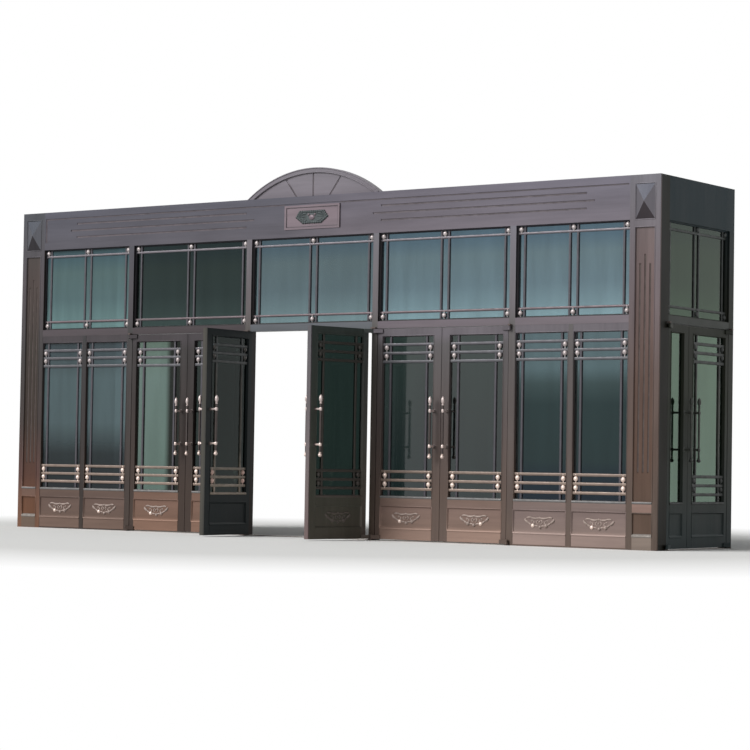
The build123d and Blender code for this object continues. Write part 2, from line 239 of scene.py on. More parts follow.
def sheet_steel(name, grain, heights, widths=None, depths=None, gloss="#ffffff", metallic=0.25, rough=0.42,
                mottle=0.12):
    """Hairline stainless sheet with a bronze tint: satin, with faint streaks along its grain and darker
    cloudy patches. heights are (metres up, colour): the tint runs from copper at the foot to grey mauve at
    the top, partly painted light, with painted sunlight on the lower sheets and painted shade on the upper
    ones.
    widths and depths are (X or Y in metres, tint) of painted light: darker at the left with a painted dark
    reflection, darker in the second bay with a painted cast shadow, and darker behind the face with painted
    shade. gloss tints the reflection: less than white on duller sheets, and on the returns, the open left
    leaf and the right pilaster to deepen their painted shade. The real hairlines are 0.2 mm apart, drawn 12
    mm apart so that they show."""
    material, tree, shader, place = blank(name)
    axes = add(tree, "SeparateXYZ", {"Vector": place}).outputs
    colour = tint(tree, axes["Z"], heights)
    for axis, tints in (("X", widths), ("Y", depths)):
        if tints:
            colour = add(tree, "VectorMath", {0: colour, 1: tint(tree, axes[axis], tints)},
                         operation="MULTIPLY")

    def grained(long, fine):
        """Features a metre along the grain and across it."""
        return (long, fine, fine) if grain == "along" else (fine, fine, long)

    hairline = pattern(tree, place, grained(1.1, 80))
    cloud = pattern(tree, place, grained(0.6, 4), 4.0)
    streaks = pattern(tree, place, grained(1.5, 22), 2.0)
    clouds, streaked, lined = [
        add(tree, "MapRange", {"Value": mark, **pattern_range, "To Min": 1 - change, "To Max": 1 + change})
        for mark, change in ((cloud, mottle), (streaks, mottle / 2), (hairline, 0.025))]
    marks = add(tree, "Math", {0: clouds, 1: streaked}, operation="MULTIPLY")
    marks = add(tree, "Math", {0: marks, 1: lined}, operation="MULTIPLY")
    connect(tree, shader, {
        "Base Color": add(tree, "VectorMath", {0: colour, "Scale": marks}, operation="SCALE"),
        "Roughness": add(tree, "MapRange", {"Value": cloud, **pattern_range, "To Min": rough - 0.07,
                                            "To Max": rough + 0.07}),
        "Normal": add(tree, "Bump", {"Height": hairline, "Strength": 0.1, "Distance": 0.001}),
        "Metallic": metallic, "Specular IOR Level": 0.2, "Specular Tint": gloss})
    return material


def polished(name, heights, rough, metallic, grime=0.25):
    """Polished rose-bronze stainless bar or casting: glossy, with a dull film in patches 60 mm wide. heights
    are (metres up, colour) and hold painted light: most run warmer and lighter near the foot, with painted
    sunlight, and darker higher up, with painted shade."""
    material, tree, shader, place = blank(name)
    axes = add(tree, "SeparateXYZ", {"Vector": place}).outputs
    colour = tint(tree, axes["Z"], heights)
    film = pattern(tree, place, (16, 16, 16))
    dulled = add(tree, "MapRange", {"Value": film, **pattern_range, "To Min": 1.0, "To Max": 1 - grime})
    connect(tree, shader, {
        "Base Color": add(tree, "VectorMath", {0: colour, "Scale": dulled}, operation="SCALE"),
        "Roughness": add(tree, "MapRange", {"Value": film, **pattern_range, "To Min": rough,
                                            "To Max": rough + 0.18}),
        "Metallic": metallic})
    return material


def float_glass(name, heights, widths=None, left=None, transmission=0.95, gloss="#999999", ior=1.52):
    """Tinted float glass: a body colour that tints light at both faces, a hard mirror-smooth surface, and a
    film of dust in upright runs about 150 mm wide. heights and widths are (metres, colour) up and across,
    and left holds the heights of panes left of the middle. transmission is one number, or (X in metres,
    number) stops where some panes let less light through. gloss tints the reflection."""
    material, tree, shader, place = blank(name)
    axes = add(tree, "SeparateXYZ", {"Vector": place}).outputs
    colour = tint(tree, axes["Z"], heights)
    if left:
        to_right = add(tree, "Math", {0: axes["X"], 1: 0.0}, operation="GREATER_THAN")
        colour = add(tree, "Mix", {0: to_right, 6: tint(tree, axes["Z"], left), 7: colour},
                     data_type="RGBA").outputs[2]
    if widths:
        colour = add(tree, "VectorMath", {0: colour, 1: tint(tree, axes["X"], widths)}, operation="MULTIPLY")
    film = pattern(tree, place, (6.5, 6.5, 0.8), 5.0)
    dusted = add(tree, "MapRange", {"Value": film, **pattern_range, "To Min": 0.9, "To Max": 1.1})
    if isinstance(transmission, list):
        transmission = tint(tree, axes["X"], transmission)
    connect(tree, shader, {
        "Base Color": add(tree, "VectorMath", {0: colour, "Scale": dusted}, operation="SCALE"),
        "Roughness": add(tree, "MapRange", {"Value": film, **pattern_range, "To Min": 0.02, "To Max": 0.06}),
        "Transmission Weight": transmission, "Specular Tint": gloss, "IOR": ior})
    return material


# Tints across the front and into its depth, all painted light: darker at the left with a painted dark
# reflection, darker in the second bay with a painted cast shadow, and darker behind the face, on jambs,
# recess walls, side faces, the returns' rails and the open leaves, with painted shade
leaf_widths = [(-4.2, "#b9b6b4"), (-2.55, "#b9b6b4"), (-2.45, "#b0adab"), (-0.87, "#b0adab"),
               (-0.8, "#ffffff"), (4.2, "#ffffff")]
kick_widths = [(-4.2, "#ccc2b9"), (-2.55, "#ccc2b9"), (-2.45, "#edd6c3"), (-0.87, "#edd6c3"),
               (-0.8, "#fff5eb"), (2.45, "#fff5eb"), (2.55, "#ffffff"), (4.2, "#ffffff")]
post_widths = [(-4.2, "#a9adb0"), (-3.0, "#a9adb0"), (-0.87, "#f4f0ea"), (0.87, "#f2f2ee"), (2.6, "#ffffff"),
               (4.2, "#ffffff")]
rail_widths = [(-4.2, "#c0bebc"), (-2.55, "#c0bebc"), (-2.45, "#a8a5a2"), (-0.87, "#a8a5a2"),
               (-0.8, "#dcf4f2"), (0.8, "#dcf4f2"), (0.87, "#f0f0f1"), (2.55, "#ffffff"), (4.2, "#ffffff")]
frieze_widths = [(-4.2, "#cbd3d7"), (-0.4, "#d1d7da"), (0.4, "#f4f4f6"), (4.2, "#fafcff")]
facet_widths = [(-4.2, "#d9e2e3"), (-3.5, "#d9e2e3"), (3.5, "#ffffff"), (4.2, "#ffffff")]
jamb_depths = [(-0.047, "#ffffff"), (-0.044, "#8f8f92"), (0.05, "#77777c"), (0.11, "#77777c"),
               (0.13, "#7f9281"), (1.4, "#7f9281")]
panel_depths = [(-0.047, "#ffffff"), (-0.043, "#f8ebe2"), (-0.0295, "#f4e4d8"), (-0.028, "#484f43"),
                (0.13, "#414838")]
left_panel_depths = [(-0.047, "#ffffff"), (-0.043, "#e8dccc"), (-0.0295, "#e0d2be"), (-0.028, "#484f43"),
                     (0.13, "#414838")]
left_leaf_depths = [(-0.888, "#ffffff"), (-0.8862, "#ffffff"), (-0.8858, "#7c92a0"), (0.0, "#7c92a0")]
right_leaf_depths = [(-0.87, "#ffffff"), (-0.8596, "#ffffff"), (-0.8592, "#cae2cf"), (-0.17, "#cae2cf"),
                     (-0.155, "#eefff2"), (0.0, "#eefff2")]

# Sheet steel of the leaves, the frame, the pilasters and the returns
steel_leaf = sheet_steel("hairline_bronze_steel_leaf", "up", [
    (0.0, "#5e5049"), (0.5, "#5a4c45"), (1.2, "#524947"), (2.0, "#545152"), (2.1, "#605b60")], leaf_widths)
steel_kick = sheet_steel("hairline_copper_steel_kick", "along", [
    (0.0, "#88766f"), (0.14, "#88766f"), (0.16, "#796963"), (0.34, "#776763"), (0.36, "#756662"),
    (0.46, "#75655f")], kick_widths)
# The open centre leaves take darker copies of the leaf sheet, lighter only at their front edges: painted
# shade
steel_open_left = sheet_steel("hairline_bronze_steel_left_open_leaf", "up", [
    (0.0, "#4a4843"), (2.2, "#4a4843")], depths=left_leaf_depths, gloss="#bbbbbb", metallic=0.1)
steel_open_right = sheet_steel("hairline_bronze_steel_right_open_leaf", "up", [
    (0.0, "#6e5d5c"), (0.5, "#6a5f5e"), (1.2, "#665f61"), (2.15, "#5c5a5e")], depths=right_leaf_depths,
    metallic=0.1)
steel_post = sheet_steel("hairline_bronze_steel_post", "up", [
    (0.0, "#5d4f47"), (0.5, "#554a45"), (1.6, "#534d4c"), (2.2, "#5a5757"), (2.4, "#656064"),
    (3.2, "#69676f")], post_widths, jamb_depths)
steel_rail = sheet_steel("hairline_bronze_steel_rail", "along", [(2.1, "#635d60"), (2.3, "#6d646b")],
                         rail_widths, jamb_depths)
steel_frieze = sheet_steel("hairline_bronze_steel_frieze", "along", [(3.1, "#696268"), (3.6, "#65616a")],
                           frieze_widths)
steel_pediment = sheet_steel("hairline_bronze_steel_pediment", "along", [(3.5, "#6d676e"), (3.9, "#716d73")])
steel_plaque = sheet_steel("hairline_bronze_steel_plaque", "along", [(3.2, "#766a70"), (3.6, "#776a70")])
steel_pilaster = sheet_steel("hairline_bronze_steel_right_pilaster", "up", [
    (0.0, "#5a4e47"), (0.4, "#5a4e47"), (0.9, "#5d4e47"), (1.6, "#5b4e4a"), (2.6, "#665d60"),
    (3.6, "#6a686e")], depths=panel_depths, gloss="#c4c4c4", mottle=0.16)
# The left pilaster has its own tints, lighter copper at the foot and darker in the middle: painted light and
# shade
steel_pilaster_left = sheet_steel("hairline_bronze_steel_left_pilaster", "up", [
    (0.0, "#745341"), (0.35, "#6e5042"), (0.6, "#59403a"), (1.2, "#3f3735"), (2.0, "#3d3a3a"),
    (2.8, "#494346"), (3.6, "#45474c")], depths=left_panel_depths, mottle=0.16)
steel_pilaster_rail = sheet_steel("hairline_copper_steel_pilaster_rail", "along", [
    (0.0, "#7c6f66"), (0.2, "#7c6f66"), (0.34, "#846c63"), (0.45, "#846c63")], kick_widths)
# Lit and shaded copies of one sheet for the capitals' facets: painted sky reflection on the upper facet,
# painted shade on the lower one
facet_side = sheet_steel("hairline_bronze_steel_facet", "up", [
    (3.1, "#605d63"), (3.6, "#605d63")], facet_widths)
facet_upper = sheet_steel("hairline_steel_upper_facet", "up", [
    (3.1, "#44454e"), (3.6, "#44454e")], facet_widths)
facet_lower = sheet_steel("hairline_steel_lower_facet", "up", [
    (3.1, "#352f33"), (3.6, "#3a3639")], facet_widths)
# The returns' sheet is a darker blue-grey copy: painted shade
steel_return = sheet_steel("hairline_bronze_steel_return", "up", [
    (0.0, "#3a4345"), (0.5, "#343936"), (1.5, "#2f322a"), (2.3, "#2e302a"), (3.1, "#2b3233"),
    (3.2, "#263236"), (3.6, "#263237")], gloss="#999999", metallic=0.1, rough=0.5)
steel_roof = sheet_steel("mill_finish_steel_roof", "along", [
    (3.4, "#5f6163"), (3.6, "#666869")], metallic=0.6)
steel_dull = sheet_steel("dull_bronze_steel_pivot", "up", [
    (0.0, "#655955"), (2.2, "#655955")], gloss="#999999", metallic=0.1)

# Bars, castings and sills
bright_bar = polished("polished_rose_steel_bar", [
    (0.5, "#8c7a6f"), (0.75, "#7b6b61"), (1.8, "#57575b"), (2.2, "#565359"), (2.3, "#63565a"),
    (3.1, "#706b71")], 0.3, 0.35)
# Uprights darker than the rows of the same lattice: painted shade
upright_bar = polished("painted_shade_bronze_steel_upright", [(0.5, "#423f46"), (3.1, "#4c4950")], 0.4, 0.2)
# Near-white castings: partly a painted highlight
bright_ball = polished("polished_rose_steel_casting", [
    (0.1, "#f2dcd0"), (0.75, "#ecd6ca"), (1.1, "#f0dcd6"), (1.8, "#b3a8a7"), (3.1, "#bdb4b3")], 0.25, 0.3,
    0.15)
relief_steel = polished("dull_rose_steel_relief", [(0.1, "#9c8b83"), (0.5, "#9c8b83")], 0.45, 0.2)
# Grips darker than the knobs of the same handle: a painted dark reflection
grip_bar = polished("painted_reflection_bronze_steel_grip", [(0.5, "#4a403e"), (2.0, "#4a403e")], 0.32, 0.3)
# Darker copy of the bars for the returns, their pulls and transoms, and the open left leaf's ornament:
# painted shade
shaded_bar = polished("painted_shade_bronze_steel_bar", [
    (0.4, "#2a2d2c"), (0.85, "#2b2e2c"), (0.95, "#454843"), (1.6, "#454843"), (1.7, "#2b2e2c"),
    (3.2, "#2b302f")], 0.45, 0.2)
# Copies for the open centre leaves' bars and balls: painted shade, with painted light on the left leaf's
# lower bars and balls
olive_bar = polished("olive_bronze_steel_bar", [
    (0.5, "#a09284"), (0.75, "#857b70"), (0.9, "#4d4942"), (1.7, "#45423d"), (1.85, "#424546")], 0.4, 0.2)
brown_bar = polished("brown_bronze_steel_bar", [
    (0.1, "#665d57"), (0.42, "#665d57"), (0.5, "#443f3a"), (2.0, "#3c3a35")], 0.45, 0.1)
open_ball = polished("painted_light_rose_steel_casting", [
    (0.5, "#f4cfc2"), (0.8, "#e2bfb2"), (1.7, "#55524f")], 0.25, 0.3)
dark_relief = polished("patinated_bronze_relief", [(3.2, "#41494a"), (3.6, "#41494a")], 0.45, 0.3)
# Dark fill for grooves and edge lines: painted shade
groove_shade = polished("painted_shade_bronze_groove", [
    (0.7, "#463a36"), (2.9, "#463a36"), (3.1, "#5b5358"), (3.6, "#5b5358")], 0.6, 0.1)
bright_sill = polished("worn_bright_steel_sill", [
    (0.1, "#877f78"), (0.3, "#76726f"), (0.4, "#6d6c6b"), (0.5, "#6f6d6c")], 0.4, 0.3)
sill_steel = polished("worn_steel_threshold", [(0.0, "#8b8580"), (0.1, "#8b8580")], 0.38, 0.7)

# Glass. The panes' tints by height and place hold painted light: painted reflection on the end bays' fixed
# panes and the returns' panes, light seen through it painted on the second bay's left leaf, painted shade on
# the open leaves, the returns' transoms and the tops of the transoms, a painted cast shadow on the second
# bay's transom, and a painted dark reflection at the left, where less light passes
glass_fixed = float_glass("blue_green_float_glass", [
    (0.5, "#1a2630"), (0.7, "#1e2b33"), (0.85, "#253536"), (1.4, "#273839"), (1.6, "#394a4b"),
    (1.75, "#53676b"), (2.1, "#576a6f")], left=[
        (0.5, "#232c30"), (0.85, "#2b3538"), (1.2, "#596c70"), (1.7, "#5b6f73"), (2.1, "#3f4c52")],
    transmission=[(-3.8, 0.4), (-2.5, 0.4), (2.5, 0.95), (3.8, 0.95)])
glass_pale = float_glass("pale_green_float_glass", [(0.5, "#5c7068"), (1.7, "#667a74"), (2.1, "#5a6d62")], [
    (-2.4, "#ffffff"), (-2.0, "#ffffff"), (-1.93, "#4c4b45"), (-1.7, "#4c4b45")])
glass_deep = float_glass("deep_green_float_glass", [(0.5, "#1f2a2a"), (1.2, "#232e2b"), (2.1, "#26312e")])
glass_deep_right = float_glass("deep_green_float_glass_right", [
    (0.5, "#1c2828"), (1.2, "#26302f"), (2.1, "#2b3835")], gloss="#ffffff")
glass_open = float_glass("bottle_green_float_glass", [(0.5, "#1e2a27"), (2.1, "#202d2a")], gloss="#5f7f76",
                         ior=1.45)
glass_transom = float_glass("blue_grey_float_glass", [
    (2.25, "#84a0a7"), (2.4, "#768d95"), (2.6, "#687c85"), (2.9, "#667980"), (3.05, "#566b78"),
    (3.2, "#4f6471")], [
        (-4.2, "#eefaf0"), (-2.52, "#eefaf0"), (-2.49, "#72766f"), (-0.84, "#72766f"), (-0.82, "#e2e1de"),
        (0.82, "#e2e1de"), (0.84, "#f6f8f8"), (4.05, "#ffffff"), (4.07, "#6a7858"), (4.2, "#6a7858")],
    transmission=[(-4.2, 0.3), (-2.53, 0.3), (-2.47, 0.95), (4.2, 0.95)], gloss="#8f9c88", ior=1.36)
glass_side = float_glass("pale_olive_float_glass", [
    (0.4, "#4f6657"), (2.2, "#4b6150")], gloss="#8f9c88", ior=1.4)


def dress(node, material):
    """Give every slot of a CAD node one material."""
    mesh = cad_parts[node].data
    if not mesh.materials:
        mesh.materials.append(material)
    for k in range(len(mesh.materials)):
        mesh.materials[k] = material


# Leaves: name, pivot place, turn of the closed leaf, hand, width, lattice margin and rest angle
leaves = []
for bay, centre in (("left", -door_pitch), ("centre", 0), ("right", door_pitch)):
    for hand, side in (("left", -1), ("right", 1)):
        opened = 0 if bay != "centre" else centre_left_angle if side < 0 else centre_right_angle
        leaves.append((f"{bay}_bay_{hand}_leaf", centre + side * (door_bay / 2 + pivot_overlap),
                       front - pivot_standoff, 0, side, front_leaf, lattice_margin, opened))
for wall, side in (("left_side", -1), ("right_side", 1)):
    x = side * (half_width + pivot_standoff)
    leaves.append((f"{wall}_narrow_leaf", x, pilaster_back - pivot_overlap, 90 * side, -side,
                   side_narrow_leaf, 0, 0))
    leaves.append((f"{wall}_main_leaf", x, side_rear + pivot_overlap, 90 * side, side, side_main_leaf,
                   lattice_margin, 0))


def hung(x, y, turn, side, opened):
    """Place of a leaf that is drawn with its heel at x = 0, its outer face at y = 0 and its foot at z = 0."""
    flip = Matrix.Diagonal((-1 if side > 0 else 1, 1, 1, 1))
    swing = Matrix.Rotation(math.radians(turn + side * opened), 4, "Z")
    heel = Matrix.Translation((axis_from_heel, axis_from_leaf, 0))
    return Matrix.Translation((x, y, leaf_foot)) @ swing @ flip @ heel


# Sections, as (across, outwards)
outwards, upwards = (0, -1, 0), (0, 0, 1)


def rounded(half, high):
    """Section of a flat bar with rounded shoulders."""
    return [(half, 0), (half, high - 5), (half - 1.2, high - 2.5), (half - 4, high - 0.6), (half - 8, high),
            (8 - half, high), (4 - half, high - 0.6), (1.2 - half, high - 2.5), (-half, high - 5), (-half, 0)]


def strip(half, low, high):
    """Section of a flat strip about the line that it follows."""
    return [(half, low), (half, high), (-half, high), (-half, low)]


row_section, upright_section, transom_section = rounded(15, 15.5), rounded(13, 13), rounded(12, 13)
sill_section = [(17, 4), (15, 9), (4, 7), (-3, 4), (-6, -1), (-6, -13), (-3, -17), (0.5, -17), (6, -8)]
kick_sill_section = [(11, 6), (11, 15), (-2, 2), (-5, -5), (-5, -12), (-3, -16), (0.5, -16), (2, -6)]
base_ledge_section = [(12, 0), (10, 12), (-2, 10), (-6, 5), (-6, -8), (-3, -12), (0.5, -12)]
foot_ledge_section = [(11, 4), (11, 13), (-3, 2), (-6, -6), (-6, -18), (-3, -22), (0.5, -22), (2, -8)]
groove_section = [(9, -7.8), (9, -2.5), (4, -4), (-4, -4), (-9, -2.5), (-9, -7.8)]
seam_section = [(9, 0), (9, 18), (4, 24), (-4, 24), (-9, 18), (-9, 0)]
rib_section = [(2.5, 0), (1.5, 2), (-1.5, 2), (-2.5, 0)]

# Profiles of mitred frames, as (in from the edge, Y)
glazing_bead = [(-7, 0.5), (-6, -3), (-3, -4.5), (1, -3), (3, 3), (5, 10), (8, 17), (9, 23.5), (-1, 23.5),
                (-1, 0.5)]
kick_bead = [(-7, 0.5), (-6, -2.5), (-3, -4), (0, -2.5), (4, 3), (8, 9), (12, 10), (14, 12.5), (3, 12.5),
             (-2, 0.5)]
transom_bead = [(0, -26), (6, -26), (10, -23), (12, -16), (15, -10), (16, -4), (0, -4)]
pilaster_bead = [(-7, 0.5), (-6, -3), (-2, -4.5), (2, -3), (4, 0.5)]
plaque_bead = [(22, 0.5), (22, -3), (28, -3), (30, 0.5)]


def lattice(shape, spans, section, glass):
    """Bars on the outer face of the glass. Each span is (x0, z0, x1, z1)."""
    for x0, z0, x1, z1 in spans:
        shape.bar((x0, glass, z0), (x1, glass, z1), section, outwards)


def spindle(length, balls):
    """Thin turned rod along Z with a ball at each height, and collars at its ends and beside its balls."""
    ball, rod, collar = 25.5, 4.5, 9
    profile = [(0, 7), (3, collar), (6, 7), (8, rod)]
    for z in balls:
        profile += [(z - 28, rod), (z - 26, collar), (z - 24, collar)]
        profile += [(z + ball * math.sin(t), ball * math.cos(t))
                    for t in [math.radians(a) for a in range(-66, 67, 12)]]
        profile += [(z + 24, collar), (z + 26, collar), (z + 28, rod)]
    profile += [(length - 8, rod), (length - 6, 7), (length - 3, collar), (length, 7)]
    shape = Shape()
    shape.lathe(profile, 16, 0.7)
    return shape


def swollen(path, thin, thick):
    """Widths along a path that swell from thin at its ends to thick in its middle."""
    last = len(path) - 1
    return [thin + (thick - thin) * math.sin(math.pi * k / last) for k in range(last + 1)]


def curve(points, steps=14):
    """Points along a smooth curve through three (x, z) points."""
    (ax, az), (bx, bz), (cx, cz) = points
    line = []
    for k in range(steps + 1):
        t = k / steps
        u, v, w = 2 * (t - 0.5) * (t - 1), 4 * t * (1 - t), 2 * t * (t - 0.5)
        line.append((u * ax + v * bx + w * cx, u * az + v * bz + w * cz))
    return line


def boss(radius, depth=0.8, finish=0):
    """Domed stud on a face, towards -Y."""
    shape = Shape()
    profile = [(radius * depth * math.sin(t), radius * math.cos(t)) for t in
               [math.radians(a) for a in (0, 18, 36, 54, 72, 84)]]
    shape.lathe(profile, 14, finish=finish)
    turned = Shape()
    turned.put(shape, Matrix.Rotation(math.radians(90), 4, "X"))
    return turned


def scroll():
    """Kick-panel ornament about its own middle: a garland bar over two mirrored scrolls that end in balls,
    with a lobe at each tip and a pendant in the middle."""
    shape = Shape()
    strokes = (
        (((8, 46), (52, 40), (92, 49)), 7, 12, 12), (((92, 49), (122, 51), (146, 46)), 7, 10, 11),
        (((168, 28), (150, 12), (124, -4)), 8, 14, 13), (((126, -2), (104, -16), (84, -26)), 6, 11, 11),
        (((84, -24), (62, -8), (70, 14)), 5, 9, 8), (((70, 14), (92, 20), (88, 2)), 3, 6, 5),
        (((60, -36), (36, -32), (14, -40)), 4, 9, 8), (((14, 28), (32, 6), (16, -16)), 4, 8, 7))
    for hand in (-1, 1):
        for points, thin, thick, high in strokes:
            path = [(hand * x, z) for x, z in curve(points)]
            shape.relief(path, swollen(path, thin, thick), swollen(path, thin, high), 0)
        # Only the left ball takes the bright casting, the right one the dull relief: a painted highlight
        shape.put(boss(21, finish=1 if hand < 0 else 0), Matrix.Translation((hand * 76, 0, -30)))
        shape.put(boss(12), Matrix.Translation((hand * 164, 0, 28)))
        shape.put(boss(6), Matrix.Translation((hand * 94, 0, 50)))
    for x, z, size in ((6, -44, 18), (0, 8, 12), (0, 46, 12)):
        shape.put(boss(size), Matrix.Translation((x, 0, z)))
    return shape


def pull():
    """Turned pull handle on an outer face, with its legs and rosettes."""
    shape = Shape()
    low = handle_height - leg_spacing / 2 - handle_below - leaf_foot
    high = handle_height + leg_spacing / 2 + handle_above - leaf_foot
    ball = [(low + 20 + 20 * math.sin(t), 20 * math.cos(t)) for t in
            [math.radians(a) for a in range(-84, 61, 12)]]
    ball += [(low + 40, 9), (low + 43, 13), (low + 47, 13.5), (low + 49, 11)]
    shaft = [(low + 49, 10.5), (low + 90, 11), ((low + high) / 2, 11.5), (high - 130, 11), (high - 92, 10.5)]
    bulb = [(high - 92, 11), (high - 88, 13.5), (high - 83, 13), (high - 79, 8), (high - 74, 9.5),
            (high - 64, 16), (high - 48, 19.5), (high - 32, 19), (high - 18, 15), (high - 8, 9),
            (high - 1, 3), (high, 0.5)]
    axis = Matrix.Translation((0, -handle_standoff, 0))
    # Knob and bulb take the bright casting and the shaft the dark grip, though all are one metal: painted
    # highlights and a painted dark reflection; the legs and knuckles likewise
    for profile, finish in ((ball, 1), (shaft, 0), (bulb, 1)):
        part = Shape()
        part.lathe(profile, 20, finish=finish)
        shape.put(part, axis)
    leg = Shape()
    leg.lathe([(0, 21), (3, 21), (6, 15), (10, 11), (14, 9)], 16)
    leg.lathe([(14, 9.5), (24, 11), (40, 11), (52, 10), (58, 12), (66, 12), (handle_standoff, 10)], 16,
              finish=1)
    knuckle = Shape()
    knuckle.lathe([(-17, 11.5), (-13, 14), (-6, 15.5), (6, 15.5), (13, 14), (17, 11.5)], 20, finish=1)
    for z in (low + handle_below, high - handle_above):
        shape.put(leg, Matrix.Translation((0, 0, z)) @ Matrix.Rotation(math.radians(90), 4, "X"))
        shape.put(knuckle, Matrix.Translation((0, -handle_standoff, z)))
    return shape


def pivot_sleeves():
    """Turned sleeves on a leaf's axis, at its foot and at its head."""
    sleeve, caps = Shape(), Shape()
    sleeve.lathe([(0.5, 12.8), (3, 14), (6, 13), (34, 13), (37, 14), (40, 13), (44, 8), (46, 2)], 20)
    axis = Matrix.Translation((-axis_from_heel, -axis_from_leaf, 0))
    caps.put(sleeve, axis)
    caps.put(sleeve, axis @ Matrix.Translation((0, 0, leaf_height)) @ Matrix.Diagonal((1, 1, -1, 1)))
    return caps


kick_scroll, pull_handle, leaf_sleeves = scroll(), pull(), pivot_sleeves()
outer_face = Matrix.Identity(4)
inner_face = Matrix.Translation((0, leaf_thickness, 0)) @ Matrix.Diagonal((1, -1, 1, 1))

# A thin sheet lies this far in front of the solid that it covers, and this far inside its edges
sheet_lift, sheet_edge, kick_edge = 1.2, 2, 9

# Depth of the spindles behind the outer face, and small shifts of the rows, upper spindles and ornament
spindle_y, row_drop, spindle_lift, ornament_drop = 12.5, 5, 8, 9


def dress_panel(name, body, place, width, height, left, right, margin, foot, finishes):
    """Kick sheets, lattice, spindles, beads and ornament of one glazed panel, drawn like a leaf. The returns'
    panels have no ornament."""
    sheet, kick, bar, upright, ball, sill_finish, relief = finishes
    x0, x1, z0, z1 = left, width - right, kick_height + foot, height - top_rail
    kick_low, kick_high = foot + bottom_rail, z0 - kick_rail
    beads, kicks, bars, uprights, turned, sill = Shape(), Shape(), Shape(), Shape(), Shape(), Shape()
    for side in (outer_face, inner_face):
        face = Shape()
        face.moulding(x0, x1, z0, z1, glazing_bead)
        beads.put(face, side)
        face = Shape()
        face.moulding(x0, x1, kick_low, kick_high, kick_bead)
        face.bar((x0, 0, kick_low), (x1, 0, kick_low), kick_sill_section, upwards)
        for low, high, y in ((foot + 1, kick_low - sheet_edge, -sheet_lift),
                             (kick_low + kick_edge, kick_high - kick_edge, kick_recess - sheet_lift),
                             (kick_high + sheet_edge, z0 - sheet_edge, -sheet_lift)):
            face.bar((x0, y, low), (x0, y, high), [(0, -1), (0, 0), (x0 - x1, 0), (x0 - x1, -1)], outwards)
        kicks.put(face, side)
        if margin:
            rows = [z0 + bar_first + k * bar_pitch for k in range(bar_rows)]
            rows += [z1 - bar_first - k * bar_pitch for k in range(bar_rows)]
            face = Shape()
            lattice(face, [(x0, z - row_drop, x1, z - row_drop) for z in rows], row_section, glass_outer)
            bars.put(face, side)
            face = Shape()
            lattice(face, [(x, z0, x, z1) for x in (x0 + margin, x1 - margin)], upright_section, glass_outer)
            uprights.put(face, side)
            face = Shape()
            stick = spindle(2 * bar_pitch, [bar_pitch / 2, 1.5 * bar_pitch])
            for x in (x0 + margin / 2, x1 - margin / 2):
                for z in (z0 + bar_first, z1 - bar_first - 2 * bar_pitch + spindle_lift):
                    face.put(stick, Matrix.Translation((x, spindle_y, z)))
            turned.put(face, side)
        face = Shape()
        face.bar((x0, 0, z0), (x1, 0, z0), sill_section, upwards)
        sill.put(face, side)
    made(name + "_beads", beads, [sheet], body, place)
    made(name + "_kick_sheets", kicks, [kick], body, place)
    if margin:
        made(name + "_lattice_rows", bars, [bar], body, place)
        made(name + "_lattice_uprights", uprights, [upright], body, place)
        made(name + "_spindles", turned, [ball], body, place)
    made(name + "_glazing_sill", sill, [sill_finish], body, place)
    if sheet != steel_return:
        z = (kick_low + kick_high) / 2 - ornament_drop
        middle = Matrix.Translation(((x0 + x1) / 2, kick_recess - 1, z))
        made(name + "_kick_ornament", kick_scroll, [relief, ball], body, place @ middle)


# Finishes of a panel: sheet, kick, rows, uprights, spindles, sill and ornament
closed_finishes = (steel_leaf, steel_kick, bright_bar, upright_bar, bright_ball, bright_sill, relief_steel)
# The returns and the open centre leaves take darker copies: painted shade, with painted light on the open
# left leaf's lower bars and balls
side_finishes = (steel_return, steel_return) + (shaded_bar,) * 5
open_finishes = {
    "centre_bay_left_leaf": (steel_open_left, steel_open_left, olive_bar, olive_bar, open_ball, olive_bar,
                             shaded_bar),
    "centre_bay_right_leaf": (steel_open_right, steel_open_right) + (brown_bar,) * 5}
# The second bay's closed leaves take their own panes: painted light seen through and painted shade
closed_glass = {"left_bay_left_leaf": glass_pale, "left_bay_right_leaf": glass_deep}

for name, x, y, turn, side, width, margin, opened in leaves:
    place = hung(x, y, turn, side, opened)
    at_side = "side" in name
    finishes = side_finishes if at_side else open_finishes.get(name, closed_finishes)
    dress(name, finishes[0])
    glass = glass_side if at_side else glass_open if opened else closed_glass.get(name, glass_deep_right)
    dress(name + "_glass", glass)
    dress_panel(name, name, place, width, leaf_height, hinge_stile, lock_stile, margin, 0, finishes)
    pulls = Shape()
    along = Matrix.Translation((width - handle_inset, 0, 0))
    pulls.put(pull_handle, along)
    pulls.put(pull_handle, along @ inner_face)
    # The returns' pulls take the darker bar: painted shade
    grips = [shaded_bar, shaded_bar] if at_side else [grip_bar, bright_ball]
    piece = made(name + "_pulls", pulls, grips, name, place)
    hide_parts(name + "_handles")
    made(name + "_pivot_sleeves", leaf_sleeves, [finishes[0]], name, place)

# Fixed panels of the end bays
fixed_width = (end_bay - end_post) / 2
fixed_lefts = [c + start for c in (-end_centre, end_centre) for start in (-end_bay / 2, end_post / 2)]
dress("fixed_panels", steel_leaf)
dress("fixed_panel_glass", glass_fixed)
for k, x in enumerate(fixed_lefts):
    place = Matrix.Translation((x, leaf_face, 0))
    dress_panel(f"fixed_panel_{k + 1}", "frame", place, fixed_width, door_head, fixed_stile, fixed_stile,
                fixed_margin, leaf_foot, closed_finishes)

